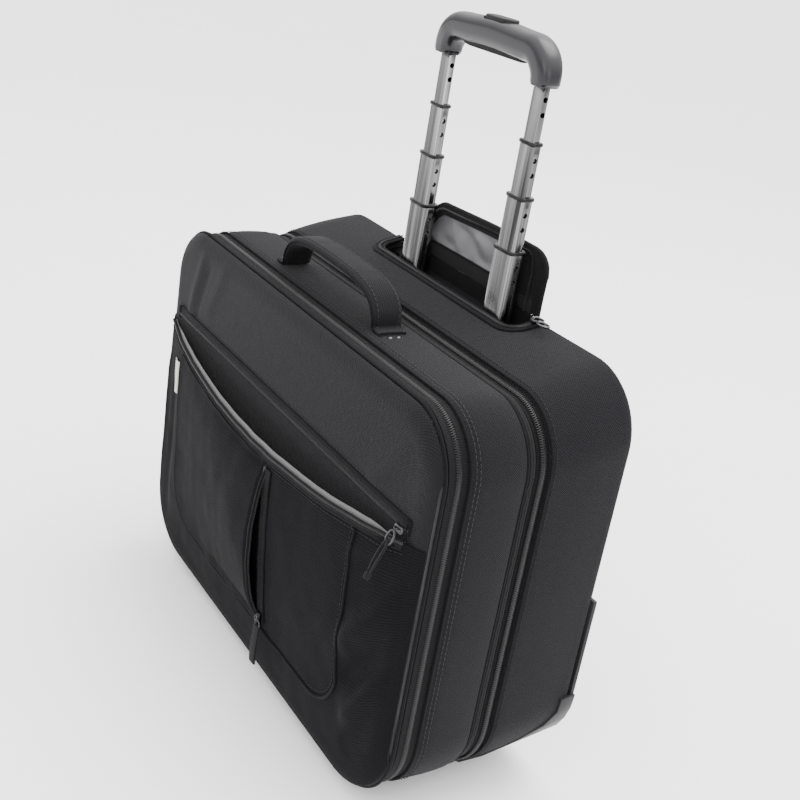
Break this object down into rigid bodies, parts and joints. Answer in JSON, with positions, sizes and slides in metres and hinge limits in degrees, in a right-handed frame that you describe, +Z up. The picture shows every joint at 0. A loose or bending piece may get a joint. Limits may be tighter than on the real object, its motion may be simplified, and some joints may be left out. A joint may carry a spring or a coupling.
{
  "type": "rolling laptop case",
  "caption": "Soft black rolling laptop case with zipped compartments, open front pocket, padded carry strap and telescopic pull handle.",
  "frame": {"origin": "on the floor, under the middle of the whole case's box", "axes": "+Z up along the pull handle, front pocket towards -Y, handle tubes towards +Y, +X to the right as seen from the front"},
  "size_m": [0.449, 0.1918, 0.548],
  "materials": {
    "nylon": "matt woven nylon, fine twill and dobby weave",
    "trim": "black zip tape and piping",
    "lining": "grey satin lining",
    "plastic": "soft-sheen grey moulding",
    "rubber": "matt",
    "tyre": "matt",
    "aluminium": "satin drawn tube",
    "steel": "nickel-plated",
    "label": "plain woven label"
  },
  "bodies": {
    "rear_case": {"rear_shell": "nylon", "back_panel": "nylon", "back_board": "plastic", "channel_liner": "lining", "well_plate": "plastic", "outer_tube_left": "aluminium", "outer_tube_right": "aluminium", "tube_bracket": "plastic", "hatch_zip": "trim", "wheel_housing_left": "plastic", "wheel_housing_right": "plastic", "axle_left": "steel", "axle_right": "steel"},
    "wheel_left": {"hub_left": "plastic", "tyre_left": "tyre"},
    "wheel_right": {"hub_right": "plastic", "tyre_right": "tyre"},
    "flap": {"hatch_flap": "nylon"},
    "stage_four": {"stage_four_tube_left": "aluminium", "stage_four_tube_right": "aluminium", "stage_four_collar_left": "plastic", "stage_four_collar_right": "plastic"},
    "stage_three": {"stage_three_tube_left": "aluminium", "stage_three_tube_right": "aluminium", "stage_three_collar_left": "plastic", "stage_three_collar_right": "plastic"},
    "stage_two": {"stage_two_tube_left": "aluminium", "stage_two_tube_right": "aluminium", "stage_two_collar_left": "plastic", "stage_two_collar_right": "plastic"},
    "handle": {"stage_one_tube_left": "aluminium", "stage_one_tube_right": "aluminium", "grip": "plastic", "grip_insert": "rubber"},
    "release": {"release_button": "plastic", "release_yoke": "steel"},
    "middle_case": {"middle_shell": "nylon", "main_zip": "trim", "front_zip": "trim", "file_divider": "lining", "carry_handle": "nylon", "front_foot_left": "rubber", "front_foot_right": "rubber"},
    "front_lid": {"front_panel": "nylon", "front_pocket": "nylon", "quick_pocket": "nylon", "pocket_zip": "trim", "name_label": "label"},
    "pocket_slider_body": {"pocket_slider": "steel"},
    "pocket_pull_body": {"pocket_pull": "nylon"},
    "quick_slider_body": {"quick_slider": "steel"},
    "quick_pull_body": {"quick_pull": "nylon"},
    "hatch_slider_body": {"hatch_slider": "steel"},
    "hatch_pull_body": {"hatch_pull": "steel"},
    "main_slider_body": {"main_slider": "steel"},
    "main_pull_body": {"main_pull": "steel"},
    "front_slider_body": {"front_slider": "steel"},
    "front_pull_body": {"front_pull": "steel"}
  },
  "joints": [
    {"name": "wheel_left_spin", "type": "hinge", "parent": "rear_case", "child": "wheel_left", "pos_m": [-0.125, 0.0696, 0.025], "axis": [1, 0, 0], "continuous": true},
    {"name": "wheel_right_spin", "type": "hinge", "parent": "rear_case", "child": "wheel_right", "pos_m": [0.125, 0.0696, 0.025], "axis": [1, 0, 0], "continuous": true},
    {"name": "stage_four_slide", "type": "slide", "parent": "rear_case", "child": "stage_four", "axis": [0, 0, 1], "range_m": [-0.091, 0.12]},
    {"name": "stage_three_slide", "type": "slide", "parent": "stage_four", "child": "stage_three", "axis": [0, 0, 1], "range_m": [-0.0345, 0.11]},
    {"name": "stage_two_slide", "type": "slide", "parent": "stage_three", "child": "stage_two", "axis": [0, 0, 1], "range_m": [-0.0345, 0.11]},
    {"name": "handle_slide", "type": "slide", "parent": "stage_two", "child": "handle", "axis": [0, 0, 1], "range_m": [-0.039, 0.11]},
    {"name": "release_press", "type": "slide", "parent": "handle", "child": "release", "axis": [0, 0, -1], "range_m": [0, 0.003], "stiffness_N_per_m": 600, "springref_m": -0.003},
    {"name": "flap_hinge", "type": "hinge", "parent": "rear_case", "child": "flap", "pos_m": [0, 0.092, 0.341], "axis": [1, 0, 0], "range_deg": [-110, 3]},
    {"name": "main_lid_hinge", "type": "hinge", "parent": "rear_case", "child": "middle_case", "pos_m": [-0.2225, 0.0195, 0.166], "axis": [0, 0, -1], "range_deg": [0, 105]},
    {"name": "front_lid_hinge", "type": "hinge", "parent": "middle_case", "child": "front_lid", "pos_m": [-0.2222, -0.0492, 0.166], "axis": [0, 0, -1], "range_deg": [0, 105]},
    {"name": "pocket_slide", "type": "slide", "parent": "front_lid", "child": "pocket_slider_body", "axis": [-1, 0, 0], "range_m": [0, 0.04]},
    {"name": "quick_slide", "type": "slide", "parent": "front_lid", "child": "quick_slider_body", "axis": [0, -0.122, 0.9925], "range_m": [0, 0.1]},
    {"name": "hatch_slide", "type": "slide", "parent": "rear_case", "child": "hatch_slider_body", "axis": [0, -0.9664, -0.2572], "range_m": [0, 0.006]},
    {"name": "main_slide", "type": "slide", "parent": "middle_case", "child": "main_slider_body", "axis": [0, 0, -1], "range_m": [0, 0.034]},
    {"name": "front_slide", "type": "slide", "parent": "middle_case", "child": "front_slider_body", "axis": [0, 0, -1], "range_m": [0, 0.034]},
    {"name": "pocket_pull_swing", "type": "hinge", "parent": "pocket_slider_body", "child": "pocket_pull_body", "pos_m": [0.2, -0.0797, 0.241], "axis": [-1, 0, 0], "range_deg": [0, 150]},
    {"name": "quick_pull_swing", "type": "hinge", "parent": "quick_slider_body", "child": "quick_pull_body", "pos_m": [0.042, -0.0852, 0.0725], "axis": [-1, 0, 0], "range_deg": [0, 150]},
    {"name": "hatch_pull_swing", "type": "hinge", "parent": "hatch_slider_body", "child": "hatch_pull_body", "pos_m": [0.1038, 0.0816, 0.3458], "axis": [-1, 0, 0], "range_deg": [0, 150]},
    {"name": "main_pull_swing", "type": "hinge", "parent": "main_slider_body", "child": "main_pull_body", "pos_m": [-0.2213, 0.0126, 0.1185], "axis": [0, 1, 0], "range_deg": [0, 150]},
    {"name": "front_pull_swing", "type": "hinge", "parent": "front_slider_body", "child": "front_pull_body", "pos_m": [-0.2231, -0.045, 0.1185], "axis": [0, 1, 0], "range_deg": [0, 150]}
  ]
}
